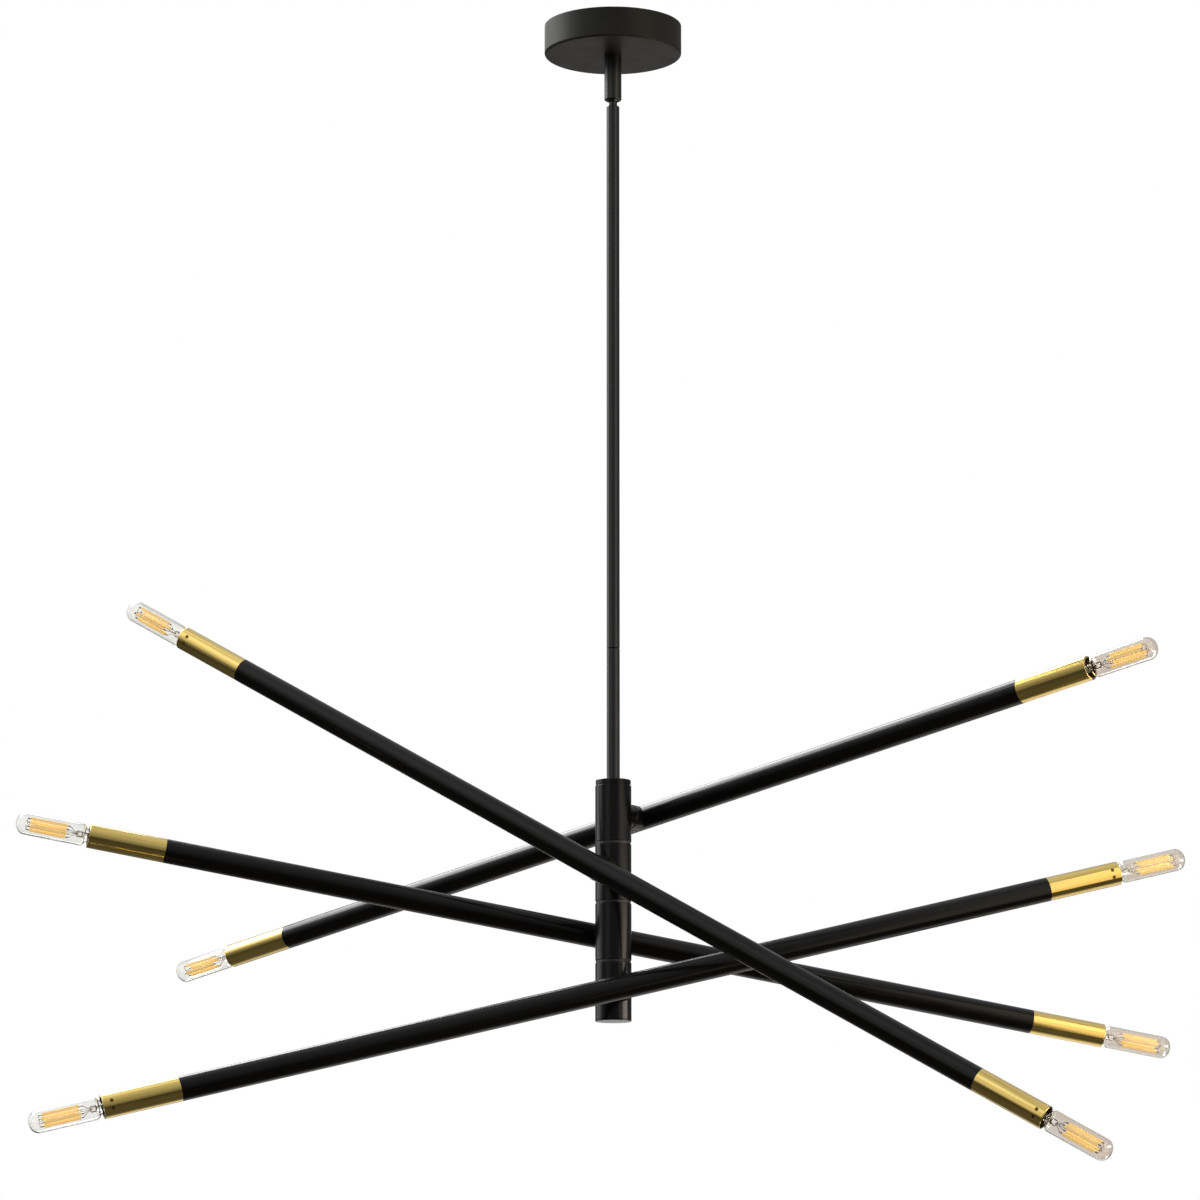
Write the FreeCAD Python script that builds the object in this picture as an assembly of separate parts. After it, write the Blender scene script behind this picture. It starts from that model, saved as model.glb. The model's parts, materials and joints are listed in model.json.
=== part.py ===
import FreeCAD, Part
import math, os

# Ceiling light with four tilting arms on a stacked, turning column.
# Millimetres. Z = 0 is the ceiling, the light hangs towards -Z, and the column is the Z axis.
# +X is to the right and +Y away from someone who faces the light.

V = FreeCAD.Vector
ORIGIN = V(0, 0, 0)
X_AXIS = V(1, 0, 0)
Y_AXIS = V(0, 1, 0)
Z_AXIS = V(0, 0, 1)

# ---- Clearances ------------------------------------------------------------------------
SEAT_GAP = 0.05        # radial, between pieces that are screwed or pushed together
TURN_GAP = 0.08        # radial, between pieces that turn on each other
FACE_GAP = 0.05        # between end faces that turn against each other
BALL_GAP = 0.10        # radial, on each side of the swivel's liner

# ---- Canopy and its hanger ---------------------------------------------------------------
CANOPY_D = 128.0
CANOPY_H = 28.0
CANOPY_WALL = 1.2
CANOPY_EDGE_R = 2.0

STRAP_LENGTH = 106.0
STRAP_WIDTH = 22.0
STRAP_THICK = 2.0
STRAP_LIP_H = 3.0      # turned-down long edges that stiffen the strap
BOX_SLOT_PITCH = 79.4  # takes the screws of both common round outlet boxes
BOX_SLOT_LENGTH = 16.0
BOX_SLOT_WIDTH = 4.8

NIPPLE_D = 10.0
NIPPLE_BORE = 7.2
NIPPLE_INTO_BARREL = 11.0
NUT_ACROSS_FLATS = 14.0
NUT_THICK = 3.0
LOCK_WASHER_D = 15.0
LOCK_WASHER_THICK = 0.8

GROUND_SCREW_D = 4.0
GROUND_SCREW_HEAD_D = 7.4
GROUND_SCREW_HEAD_H = 2.2
GROUND_SCREW_X = 21.0

CONNECTOR_D = 11.0         # twist-on wire connectors that lie on the canopy's floor
CONNECTOR_TIP_D = 7.0
CONNECTOR_LENGTH = 20.0
CONNECTOR_PITCH = 15.0
CONNECTOR_Y = -24.0

# ---- Ball swivel -------------------------------------------------------------------------
BARREL_D = 16.0
BARREL_LENGTH = 44.0
BARREL_EDGE_R = 1.4
BALL_R = 5.6
LINER_THICK = 0.9
BALL_ABOVE_MOUTH = 2.2     # ball centre above the barrel's lower face
LINER_LOW_DEG = -19.0      # the liner reaches from this latitude of the ball
LINER_HIGH_DEG = 36.0      # to this one
NECK_D = 7.8
NECK_SHOWN = 5.4           # neck between barrel and stem
PLUG_LENGTH = 14.0

# ---- Stem --------------------------------------------------------------------------------
STEM_D = 12.0
STEM_BORE = 9.0
STEM_UPPER_LENGTH = 514.0
STEM_LOWER_LENGTH = 122.1
STEM_CHAMFER = 0.8
SPIGOT_LENGTH = 12.0       # what the swivel's shank and the column tube reach into the stem
LEAD_BORE = 5.2
COUPLER_LENGTH = 26.0

# ---- Column of four hubs -----------------------------------------------------------------
HUB_D = 33.0
HUB_WALL = 2.0
HUB_LENGTH = 51.6
HUB_EDGE = 0.35
SPACER_HEIGHT = 2.4
SPACER_D = 31.8
SPACER_SPIGOT = 4.0
SPACER_WALL = 2.0
SPACER_BOSS_D = 15.0

CAP_D = 32.2
CAP_H = 4.2
CAP_EDGE_R = 0.6
CAP_GROOVE_D = 30.0
CAP_GROOVE_H = 1.0
SPRING_D = 12.8
SPRING_THICK = 0.9
SPRING_SINK = 1.2

BASE_PLATE_THICK = 1.2
BASE_BOSS_H = 8.0

CORE_D = 10.0
CORE_BORE = 6.8
CORE_WINDOW_D = 6.0        # wire window at each hub

# ---- Side pivot of each hub --------------------------------------------------------------
ARM_OFFSET = 42.0          # arm axis from the column axis
STUB_D = 24.0
BOSS_REACH = 22.1          # end of the hub's boss from the column axis
PAD_D = 16.0               # flat seat inside the hub
PAD_REACH = 12.1
PIVOT_D = 10.0
PIVOT_BORE = 6.0
PIVOT_END_REACH = 8.4      # inner end of the pivot from the column axis
FRICTION_WASHER_D = 22.4
FRICTION_WASHER_THICK = 1.0
SADDLE_WRAP = 5.5          # how far the knuckle reaches round the arm tube
TENON_D = 9.2
TENON_PROUD = 0.6
KNUCKLE_EDGE = 0.5
PIVOT_WASHER_D = 15.2
PIVOT_WASHER_THICK = 0.8
PIVOT_NUT_ACROSS_FLATS = 13.0
PIVOT_NUT_THICK = 2.4

# ---- Arms --------------------------------------------------------------------------------
TUBE_D = 22.0
TUBE_WALL = 1.0
TUBE_LENGTH = 820.0
SLEEVE_SHOWN = 70.0
SLEEVE_BORE = 18.4
SLEEVE_SPIGOT = 14.0
SLEEVE_SPIGOT_BORE = 16.4
SLEEVE_LIP_R = 0.6
HOLDER_SINK = 5.0          # lampholder face behind the sleeve's mouth
HOLDER_LENGTH = 37.0
HOLDER_D = 17.6
HOLDER_FLANGE_H = 4.0
HOLDER_BORE = 12.6
HOLDER_DEPTH = 24.0
HOLDER_CONTACT_D = 4.0
LEAD_D = 2.6
LEAD_BEND_R = 6.0

# ---- Bulbs -------------------------------------------------------------------------------
GLASS_D = 20.5
GLASS_SHOWN = 66.0
GLASS_WALL = 0.8
GLASS_NECK_D = 12.0
GLASS_SHOULDER_L = 6.5
GLASS_TIP_R = 8.5          # corner between tube and crown
GLASS_CORNER_DEG = 68.0    # how far round the corner goes before the flatter crown
GLASS_SINK = 4.0           # lower end of the glass behind the sleeve's mouth
BULB_CAP_D = 11.8
BULB_CAP_LENGTH = 14.0
BULB_TIP_D = 5.0
BULB_TIP_LENGTH = 3.5
MOUNT_D = 5.4
MOUNT_LENGTH = 15.0
FILAMENT_D = 2.8
FILAMENT_LENGTH = 36.0
FILAMENT_START = 17.0      # from the sleeve's mouth
FILAMENT_SPACING = 7.4     # side of the square that the four filaments stand in
FILAMENT_TURN = 20.0       # of that square about the bulb's axis
SUPPORT_D = 0.8

# ---- Pose at rest ------------------------------------------------------------------------
# Top hub first. AZIMUTH is where the hub's side pivot points, seen from above and counted
# from +X towards +Y. TILT turns the arm about that pivot by the right-hand rule.
HUB_AZIMUTH = (56.2, -111.7, 101.6, -77.8)
ARM_TILT = (-11.6, -29.6, 9.7, 13.9)

# ---- Levels and radii that follow ----------------------------------------------------------
CANOPY_FLOOR = -CANOPY_H + CANOPY_WALL
BARREL_TOP = -CANOPY_H
BARREL_BOTTOM = BARREL_TOP - BARREL_LENGTH
BALL_Z = BARREL_BOTTOM + BALL_ABOVE_MOUTH
LINER_R_IN = BALL_R + BALL_GAP
LINER_R_OUT = LINER_R_IN + LINER_THICK
CAVITY_R = LINER_R_OUT + BALL_GAP
STEM_TOP = BARREL_BOTTOM - NECK_SHOWN
STEM_SEAM = STEM_TOP - STEM_UPPER_LENGTH
CAP_TOP = STEM_SEAM - STEM_LOWER_LENGTH
STEM_BOTTOM = CAP_TOP - SPRING_SINK + SPRING_THICK
HUBS_TOP = CAP_TOP - CAP_H - CAP_GROOVE_H
HUB_PITCH = HUB_LENGTH + SPACER_HEIGHT
HUB_COUNT = len(HUB_AZIMUTH)
HUB_Z = [HUBS_TOP - HUB_LENGTH / 2 - HUB_PITCH * i for i in range(HUB_COUNT)]
HUBS_BOTTOM = HUB_Z[-1] - HUB_LENGTH / 2
STEM_FIT_R = STEM_BORE / 2 - SEAT_GAP
CORE_SEAT_R = CORE_D / 2 + SEAT_GAP
HUB_BORE_R = HUB_D / 2 - HUB_WALL
SPIGOT_R = HUB_BORE_R - TURN_GAP
KNUCKLE_START = BOSS_REACH + FACE_GAP + FRICTION_WASHER_THICK
SLEEVE_MOUTH = TUBE_LENGTH / 2 + SLEEVE_SHOWN


# ---- Helpers -------------------------------------------------------------------------------
def turned(start, *steps):
    """Solid of revolution about Z from (radius, height) points.

    A step that is a pair of points is an arc through the first of them to the second.
    """
    edges = []
    here = V(start[0], 0, start[1])
    for step in steps + (start,):
        if isinstance(step[0], tuple):
            through, end = [V(r, 0, z) for r, z in step]
            edges.append(Part.Arc(here, through, end).toShape())
        else:
            end = V(step[0], 0, step[1])
            if (end - here).Length > 1e-6:
                edges.append(Part.LineSegment(here, end).toShape())
        here = end
    return Part.Face(Part.Wire(edges)).revolve(ORIGIN, Z_AXIS, 360)


def ring(outer_d, inner_d, low, high):
    return turned((inner_d / 2, low), (outer_d / 2, low), (outer_d / 2, high), (inner_d / 2, high))


def rod(diameter, start, end):
    run = end - start
    return Part.makeCylinder(diameter / 2, run.Length, start, run)


def hex_nut(across_flats, thick, hole_d, low):
    corner_r = across_flats / 2 / math.cos(math.pi / 6)
    corners = [V(corner_r * math.cos(i * math.pi / 3), corner_r * math.sin(i * math.pi / 3), low)
               for i in range(6)]
    body = Part.Face(Part.makePolygon(corners + corners[:1])).extrude(V(0, 0, thick))
    return body.cut(Part.makeCylinder(hole_d / 2, thick, V(0, 0, low)))


def slot(centre_x, length, width, low, high):
    half_run = (length - width) / 2
    ends = [Part.makeCylinder(width / 2, high - low, V(centre_x + s * half_run, 0, low))
            for s in (-1, 1)]
    middle = Part.makeBox(2 * half_run, width, high - low, V(centre_x - half_run, -width / 2, low))
    return middle.fuse(ends).removeSplitter()


def on_circle(centre, radius, deg):
    return (centre[0] + radius * math.cos(math.radians(deg)),
            centre[1] + radius * math.sin(math.radians(deg)))


def arc_middle(centre, radius, from_deg, to_deg):
    """Point half way along an arc, for turned()."""
    return on_circle(centre, radius, (from_deg + to_deg) / 2)


def placed(shape, placement):
    moved = shape.copy()
    moved.Placement = placement.multiply(moved.Placement)
    return moved


def z_to_y(shape, flip=False):
    """Turns a piece made along +Z to lie along +Y, or along -Y if flipped."""
    return placed(shape, FreeCAD.Placement(ORIGIN, FreeCAD.Rotation(X_AXIS, 90 if flip else -90)))


def z_to_x(shape, side):
    """Turns a piece made along +Z to lie along +X, or along -X where side is -1."""
    return placed(shape, FreeCAD.Placement(ORIGIN, FreeCAD.Rotation(Y_AXIS, 90 * side)))


def on_hub(shape, hub):
    """From the hub's own frame, with its pivot along +Y, to its place in the column."""
    spin = FreeCAD.Rotation(Z_AXIS, HUB_AZIMUTH[hub] - 90)
    return placed(shape, FreeCAD.Placement(V(0, 0, HUB_Z[hub]), spin))


def on_arm(shape, hub):
    """From the arm's own frame, with its tube along X and the hub at -Y, to its place."""
    tilt = FreeCAD.Placement(V(0, ARM_OFFSET, 0), FreeCAD.Rotation(Y_AXIS, ARM_TILT[hub]))
    return on_hub(placed(shape, tilt), hub)


def save(name, *solids):
    shape = solids[0] if len(solids) == 1 else Part.makeCompound(list(solids))
    for solid in shape.Solids:
        if not solid.isValid() or not solid.isClosed():
            raise ValueError(name + " is not a sound solid")
    shape.exportStep("parts/" + name + ".step")


# ---- Ceiling end ---------------------------------------------------------------------------
def mounting_strap():
    """Flat bar with turned-down edges, a threaded centre hole and a slot for each box screw."""
    half_w = STRAP_WIDTH / 2
    bar = Part.makeBox(STRAP_LENGTH - STRAP_WIDTH, STRAP_WIDTH, STRAP_THICK,
                       V(-(STRAP_LENGTH - STRAP_WIDTH) / 2, -half_w, -STRAP_THICK))
    ends = [Part.makeCylinder(half_w, STRAP_THICK, V(s * (STRAP_LENGTH - STRAP_WIDTH) / 2, 0, -STRAP_THICK))
            for s in (-1, 1)]
    lips = [Part.makeBox(STRAP_LENGTH - STRAP_WIDTH, STRAP_THICK, STRAP_LIP_H,
                         V(-(STRAP_LENGTH - STRAP_WIDTH) / 2, y, -STRAP_THICK - STRAP_LIP_H))
            for y in (-half_w, half_w - STRAP_THICK)]
    strap = bar.fuse(ends + lips).removeSplitter()
    holes = [slot(s * BOX_SLOT_PITCH / 2, BOX_SLOT_LENGTH, BOX_SLOT_WIDTH, -STRAP_THICK, 0)
             for s in (-1, 1)]
    holes.append(Part.makeCylinder(NIPPLE_D / 2 + SEAT_GAP, STRAP_THICK, V(0, 0, -STRAP_THICK)))
    holes.append(Part.makeCylinder(GROUND_SCREW_D / 2 + SEAT_GAP, STRAP_THICK,
                                   V(GROUND_SCREW_X, 0, -STRAP_THICK)))
    return strap.cut(holes)


def canopy():
    """Spun drum, open to the ceiling, with a small radius round its lower edge."""
    outer = CANOPY_D / 2
    inner = outer - CANOPY_WALL
    edge = CANOPY_EDGE_R
    inner_edge = max(edge - CANOPY_WALL, 0.3)
    hole = NIPPLE_D / 2 + SEAT_GAP
    return turned(
        (hole, -CANOPY_H),
        (outer - edge, -CANOPY_H),
        (arc_middle((outer - edge, -CANOPY_H + edge), edge, -90, 0), (outer, -CANOPY_H + edge)),
        (outer, 0), (inner, 0), (inner, CANOPY_FLOOR + inner_edge),
        (arc_middle((inner - inner_edge, CANOPY_FLOOR + inner_edge), inner_edge, 0, -90),
         (inner - inner_edge, CANOPY_FLOOR)),
        (hole, CANOPY_FLOOR))


def canopy_nipple():
    return ring(NIPPLE_D, NIPPLE_BORE, BARREL_TOP - NIPPLE_INTO_BARREL, 0)


def nipple_nuts():
    """Toothed lock washer and hex nut that lock the nipple in the strap."""
    hole_d = NIPPLE_D + 2 * SEAT_GAP
    washer_low = -STRAP_THICK - LOCK_WASHER_THICK
    washer = ring(LOCK_WASHER_D, hole_d, washer_low, -STRAP_THICK)
    notch_count = 10
    notches = [placed(Part.makeBox(1.6, 1.0, LOCK_WASHER_THICK, V(LOCK_WASHER_D / 2 - 1.0, -0.5, washer_low)),
                      FreeCAD.Placement(ORIGIN, FreeCAD.Rotation(Z_AXIS, 360 / notch_count * i)))
               for i in range(notch_count)]
    nut = hex_nut(NUT_ACROSS_FLATS, NUT_THICK, hole_d, washer_low - NUT_THICK)
    return washer.cut(notches), nut


def ground_screw():
    """Pan head screw in the strap for the earth wire."""
    head_r = GROUND_SCREW_HEAD_D / 2
    low = -STRAP_THICK - GROUND_SCREW_HEAD_H
    screw = turned((0, low), (head_r * 0.6, low),
                   ((head_r * 0.92, low + GROUND_SCREW_HEAD_H * 0.3), (head_r, -STRAP_THICK)),
                   (GROUND_SCREW_D / 2, -STRAP_THICK), (GROUND_SCREW_D / 2, 0), (0, 0))
    drive = Part.makeBox(GROUND_SCREW_HEAD_D, 1.0, 1.0, V(-head_r, -0.5, low))
    return placed(screw.cut(drive), FreeCAD.Placement(V(GROUND_SCREW_X, 0, 0), FreeCAD.Rotation()))


def supply_leads():
    """Live, neutral and earth conductors, from the outlet box through the nipple to the barrel."""
    low = BARREL_TOP - PLUG_LENGTH - 8.0
    lead_r = LEAD_D / 2 - 0.1
    off_axis = 2 * lead_r / math.sqrt(3) + 0.15
    leads = []
    for i in range(3):
        turn = math.radians(90 + 120 * i)
        foot = V(off_axis * math.cos(turn), off_axis * math.sin(turn), low)
        leads.append(rod(2 * lead_r, foot, V(foot.x, foot.y, 0)))
    return leads


def wire_connectors():
    """Three ribbed twist-on caps that join the supply wires to the light's own."""
    mouth = CONNECTOR_D / 2
    tip = CONNECTOR_TIP_D / 2
    skirt = 0.25 * CONNECTOR_LENGTH
    cap = turned((0, 0), (mouth, 0), (mouth, skirt), (tip, CONNECTOR_LENGTH - 1.5),
                 (tip - 1.5, CONNECTOR_LENGTH), (0, CONNECTOR_LENGTH))
    socket = Part.makeCone(mouth - 1.2, 1.5, 0.6 * CONNECTOR_LENGTH)
    cap = z_to_y(cap.cut(socket), flip=True)
    spots = [V(CONNECTOR_PITCH * i, CONNECTOR_Y, CANOPY_FLOOR + mouth) for i in (-1, 0, 1)]
    return [placed(cap, FreeCAD.Placement(spot, FreeCAD.Rotation())) for spot in spots]


# ---- Ball swivel ---------------------------------------------------------------------------
def swivel_barrel():
    """Turned barrel whose lower end is a spherical seat that is cut open for the neck."""
    outer = BARREL_D / 2
    mouth_r = math.sqrt(CAVITY_R ** 2 - BALL_ABOVE_MOUTH ** 2)
    seat_deg = math.degrees(math.asin(BALL_ABOVE_MOUTH / CAVITY_R))
    edge = BARREL_EDGE_R
    return turned(
        (mouth_r, BARREL_BOTTOM),
        (outer - edge, BARREL_BOTTOM),
        (arc_middle((outer - edge, BARREL_BOTTOM + edge), edge, -90, 0), (outer, BARREL_BOTTOM + edge)),
        (outer, BARREL_TOP), (CAVITY_R, BARREL_TOP), (CAVITY_R, BALL_Z),
        (arc_middle((0, BALL_Z), CAVITY_R, 0, -seat_deg), (mouth_r, BARREL_BOTTOM)))


def swivel_plug():
    """Threaded plug that closes the barrel and screws onto the nipple."""
    return ring(2 * (CAVITY_R - SEAT_GAP), NIPPLE_D + 2 * SEAT_GAP, BARREL_TOP - PLUG_LENGTH, BARREL_TOP)


def swivel_liner():
    """Spherical nylon ring between ball and barrel."""
    def on_sphere(radius, latitude):
        angle = math.radians(latitude)
        return (radius * math.cos(angle), BALL_Z + radius * math.sin(angle))
    middle = (LINER_LOW_DEG + LINER_HIGH_DEG) / 2
    return turned(
        on_sphere(LINER_R_IN, LINER_LOW_DEG),
        on_sphere(LINER_R_OUT, LINER_LOW_DEG),
        (on_sphere(LINER_R_OUT, middle), on_sphere(LINER_R_OUT, LINER_HIGH_DEG)),
        on_sphere(LINER_R_IN, LINER_HIGH_DEG),
        (on_sphere(LINER_R_IN, middle), on_sphere(LINER_R_IN, LINER_LOW_DEG)))


def swivel_ball():
    """Drilled ball with its neck and the shank that screws into the stem."""
    bore = LEAD_BORE / 2
    neck = NECK_D / 2
    top = BALL_Z + math.sqrt(BALL_R ** 2 - bore ** 2)
    neck_z = BALL_Z - math.sqrt(BALL_R ** 2 - neck ** 2)
    shank_end = STEM_TOP - SPIGOT_LENGTH
    return turned(
        (bore, top),
        ((BALL_R, BALL_Z), (neck, neck_z)),
        (neck, STEM_TOP), (STEM_FIT_R, STEM_TOP), (STEM_FIT_R, shank_end), (bore, shank_end))


# ---- Stem ----------------------------------------------------------------------------------
def stem_section(top, bottom):
    outer = STEM_D / 2
    bore = STEM_BORE / 2
    bevel = STEM_CHAMFER
    seam_bevel = 0.3
    return turned((bore, bottom), (outer - seam_bevel, bottom), (outer, bottom + seam_bevel),
                  (outer, top - bevel), (outer - bevel, top), (bore, top))


def stem_coupler():
    return ring(2 * STEM_FIT_R, LEAD_BORE, STEM_SEAM - COUPLER_LENGTH / 2, STEM_SEAM + COUPLER_LENGTH / 2)


def stem_leads():
    """Cable down the middle of ball, stem and column, ending on the base plate."""
    top = BALL_Z + BALL_R + 2.0
    return rod(LEAD_BORE - 0.6, V(0, 0, HUBS_BOTTOM), V(0, 0, top))


# ---- Column --------------------------------------------------------------------------------
def core_tube():
    """Threaded tube that holds the column together, with a wire window at each hub."""
    bore = CORE_BORE / 2
    shoulder = STEM_BOTTOM
    tube = turned((bore, HUBS_BOTTOM), (CORE_D / 2, HUBS_BOTTOM), (CORE_D / 2, shoulder),
                  (STEM_FIT_R, shoulder), (STEM_FIT_R, shoulder + SPIGOT_LENGTH),
                  (bore, shoulder + SPIGOT_LENGTH))
    windows = [on_hub(rod(CORE_WINDOW_D, ORIGIN, V(0, CORE_D, 0)), hub) for hub in range(HUB_COUNT)]
    return tube.cut(windows)


def column_spring():
    """Spring washer under the stem that presses the cap on the hubs."""
    return ring(SPRING_D - 2 * SEAT_GAP, 2 * CORE_SEAT_R, STEM_BOTTOM - SPRING_THICK, STEM_BOTTOM)


def column_cap():
    """Top disc with a shadow groove, a sunk seat for the spring and a spigot into the top hub."""
    outer = CAP_D / 2
    edge = CAP_EDGE_R
    low = CAP_TOP - CAP_H
    return turned(
        (CORE_SEAT_R, CAP_TOP - SPRING_SINK), (SPRING_D / 2, CAP_TOP - SPRING_SINK), (SPRING_D / 2, CAP_TOP),
        (outer - edge, CAP_TOP),
        (arc_middle((outer - edge, CAP_TOP - edge), edge, 90, 0), (outer, CAP_TOP - edge)),
        (outer, low), (CAP_GROOVE_D / 2, low), (CAP_GROOVE_D / 2, HUBS_TOP + FACE_GAP),
        (SPIGOT_R, HUBS_TOP + FACE_GAP), (SPIGOT_R, HUBS_TOP - SPACER_SPIGOT),
        (SPIGOT_R - SPACER_WALL, HUBS_TOP - SPACER_SPIGOT), (SPIGOT_R - SPACER_WALL, HUBS_TOP),
        (SPACER_BOSS_D / 2, HUBS_TOP), (SPACER_BOSS_D / 2, HUBS_TOP - SPACER_SPIGOT),
        (CORE_SEAT_R, HUBS_TOP - SPACER_SPIGOT))


def spacer_rings():
    """Nylon bush between each two hubs: a web that shows as the seam, a rim and a boss."""
    rings = []
    half = SPACER_HEIGHT / 2 - FACE_GAP
    end = SPACER_HEIGHT / 2 + SPACER_SPIGOT
    rim = SPIGOT_R - SPACER_WALL
    boss = SPACER_BOSS_D / 2
    for above, below in zip(HUB_Z, HUB_Z[1:]):
        z = (above + below) / 2
        rings.append(turned(
            (CORE_SEAT_R, z - end), (boss, z - end), (boss, z - half), (rim, z - half), (rim, z - end),
            (SPIGOT_R, z - end), (SPIGOT_R, z - half), (SPACER_D / 2, z - half),
            (SPACER_D / 2, z + half), (SPIGOT_R, z + half), (SPIGOT_R, z + end),
            (rim, z + end), (rim, z + half), (boss, z + half), (boss, z + end), (CORE_SEAT_R, z + end)))
    return rings


def base_plate():
    """Round plate that closes the column and carries the stack on the core tube."""
    outer = HUB_D / 2
    bevel = HUB_EDGE
    top = HUBS_BOTTOM - FACE_GAP
    low = HUBS_BOTTOM - BASE_PLATE_THICK
    rim = SPIGOT_R - SPACER_WALL
    boss_r = SPACER_BOSS_D / 2
    return turned(
        (0, low), (outer - bevel, low), (outer, low + bevel), (outer, top),
        (SPIGOT_R, top), (SPIGOT_R, HUBS_BOTTOM + SPACER_SPIGOT), (rim, HUBS_BOTTOM + SPACER_SPIGOT),
        (rim, HUBS_BOTTOM), (boss_r, HUBS_BOTTOM), (boss_r, HUBS_BOTTOM + BASE_BOSS_H),
        (CORE_SEAT_R, HUBS_BOTTOM + BASE_BOSS_H), (CORE_SEAT_R, HUBS_BOTTOM), (0, HUBS_BOTTOM))


# ---- Hub and side pivot, in the hub's own frame ----------------------------------------------
def hub_body():
    """Barrel with a round boss on its side and a flat seat for the pivot's washer inside."""
    outer = HUB_D / 2
    half = HUB_LENGTH / 2
    bevel = HUB_EDGE
    barrel = turned(
        (HUB_BORE_R, -half), (outer - bevel, -half), (outer, -half + bevel),
        (outer, half - bevel), (outer - bevel, half), (HUB_BORE_R, half))
    bevel_r = STUB_D / 2 - KNUCKLE_EDGE
    boss = z_to_y(turned((0, PAD_REACH), (STUB_D / 2, PAD_REACH), (STUB_D / 2, BOSS_REACH - KNUCKLE_EDGE),
                         (bevel_r, BOSS_REACH), (0, BOSS_REACH)))
    boss = boss.cut(Part.makeCylinder(HUB_BORE_R, HUB_LENGTH, V(0, 0, -half)))
    pad = rod(PAD_D, V(0, PAD_REACH, 0), V(0, outer - HUB_WALL / 2, 0))
    body = barrel.fuse([boss, pad]).removeSplitter()
    return body.cut(rod(PIVOT_D + 2 * SEAT_GAP, ORIGIN, V(0, BOSS_REACH, 0)))


def knuckle():
    """Stub that is coped to the arm tube at one end and has the hollow pivot at the other.

    In the arm's own frame: the tube's axis is X and the column axis lies at -Y.
    """
    face = ARM_OFFSET - KNUCKLE_START
    wrap = TUBE_D / 2 - SADDLE_WRAP
    bevel_r = STUB_D / 2 - KNUCKLE_EDGE
    stub = z_to_y(turned((0, wrap), (STUB_D / 2, wrap), (STUB_D / 2, face - KNUCKLE_EDGE),
                         (bevel_r, face), (0, face)), flip=True)
    tube_r = TUBE_D / 2 + SEAT_GAP
    stub = stub.cut(Part.makeCylinder(tube_r, 2 * STUB_D, V(-STUB_D, 0, 0), X_AXIS))
    pivot = rod(PIVOT_D, V(0, -ARM_OFFSET + PIVOT_END_REACH, 0), V(0, -face, 0))
    tenon_end = -(TUBE_D / 2 - TUBE_WALL) + TENON_PROUD
    tenon = rod(TENON_D, V(0, -TUBE_D / 2 - 1.0, 0), V(0, tenon_end, 0))
    body = stub.fuse([pivot, tenon]).removeSplitter()
    return body.cut(rod(PIVOT_BORE, V(0, -ARM_OFFSET, 0), ORIGIN))


def pivot_hardware():
    """Friction washer outside the hub, and thrust washer and nut on the pivot inside it."""
    hole_d = PIVOT_D + 2 * SEAT_GAP
    inner_face = PAD_REACH - FACE_GAP
    friction = ring(FRICTION_WASHER_D, hole_d, BOSS_REACH + FACE_GAP, KNUCKLE_START)
    thrust = ring(PIVOT_WASHER_D, hole_d, inner_face - PIVOT_WASHER_THICK, inner_face)
    nut = hex_nut(PIVOT_NUT_ACROSS_FLATS, PIVOT_NUT_THICK, hole_d,
                  inner_face - PIVOT_WASHER_THICK - PIVOT_NUT_THICK)
    to_arm = FreeCAD.Placement(V(0, -ARM_OFFSET, 0), FreeCAD.Rotation())
    return [placed(z_to_y(piece), to_arm) for piece in (friction, thrust, nut)]


# ---- Arm, in its own frame -------------------------------------------------------------------
def arm_tube():
    half = TUBE_LENGTH / 2
    tube = z_to_x(ring(TUBE_D, TUBE_D - 2 * TUBE_WALL, -half, half), 1)
    return tube.cut(rod(TENON_D + 2 * SEAT_GAP, V(0, -TUBE_D, 0), ORIGIN))


def sleeve(side):
    """Brass end sleeve: a spigot in the tube, a shoulder behind the lampholder, a round lip."""
    outer = TUBE_D / 2
    lip = SLEEVE_LIP_R
    start = TUBE_LENGTH / 2
    bore = SLEEVE_BORE / 2
    spigot = outer - TUBE_WALL - SEAT_GAP
    spigot_bore = SLEEVE_SPIGOT_BORE / 2
    shoulder = SLEEVE_MOUTH - HOLDER_SINK - HOLDER_LENGTH
    return z_to_x(turned(
        (spigot_bore, start - SLEEVE_SPIGOT), (spigot, start - SLEEVE_SPIGOT), (spigot, start),
        (outer, start), (outer, SLEEVE_MOUTH - lip),
        (arc_middle((outer - lip, SLEEVE_MOUTH - lip), lip, 0, 90), (outer - lip, SLEEVE_MOUTH)),
        (bore, SLEEVE_MOUTH), (bore, shoulder), (spigot_bore, shoulder)), side)


def lampholder(side):
    """Candelabra holder: a cup with a rear flange on the sleeve's shoulder and a centre contact."""
    face = SLEEVE_MOUTH - HOLDER_SINK
    rear = face - HOLDER_LENGTH
    floor = face - HOLDER_DEPTH
    flange = SLEEVE_BORE / 2 - SEAT_GAP
    body = HOLDER_D / 2
    contact = HOLDER_CONTACT_D / 2
    contact_top = SLEEVE_MOUTH - GLASS_SINK - BULB_CAP_LENGTH - BULB_TIP_LENGTH - FACE_GAP
    edge = 0.8
    return z_to_x(turned(
        (0, rear), (flange, rear), (flange, rear + HOLDER_FLANGE_H), (body, rear + HOLDER_FLANGE_H),
        (body, face - edge), (body - edge, face), (HOLDER_BORE / 2, face), (HOLDER_BORE / 2, floor),
        (contact, floor), (contact, contact_top), (0, contact_top)), side)


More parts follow.
